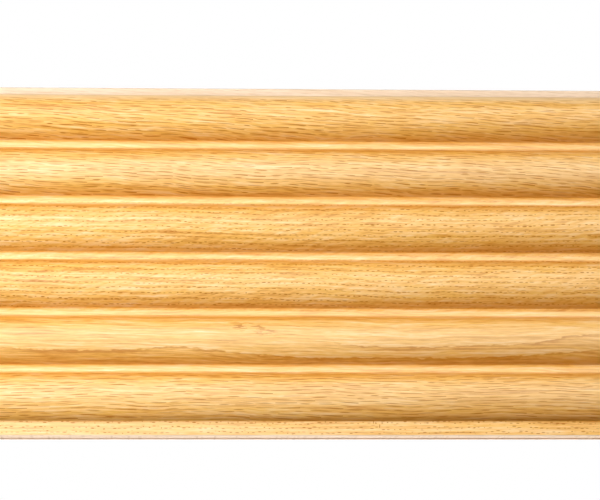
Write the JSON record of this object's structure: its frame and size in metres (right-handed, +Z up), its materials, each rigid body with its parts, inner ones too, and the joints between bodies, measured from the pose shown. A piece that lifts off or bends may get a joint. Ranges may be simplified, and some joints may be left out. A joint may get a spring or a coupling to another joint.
{
  "type": "fluted wall panel",
  "caption": "Length of moulded oak wall panelling with rounded reeds along its face, a tongue on the upper edge and a groove in the lower edge, fixed to a wall by its flat back.",
  "frame": {"origin": "middle of the flat back that lies against the wall", "axes": "+X along the reeds, +Y into the wall, +Z up the wall from the grooved edge to the tongue"},
  "size_m": [0.22, 0.016, 0.1256],
  "materials": {
    "oak": "clear satin lacquer on the face, bare sawn and planed wood on the edges, ends and back"
  },
  "bodies": {
    "root": {"fluted_panel": "oak"}
  },
  "joints": []
}
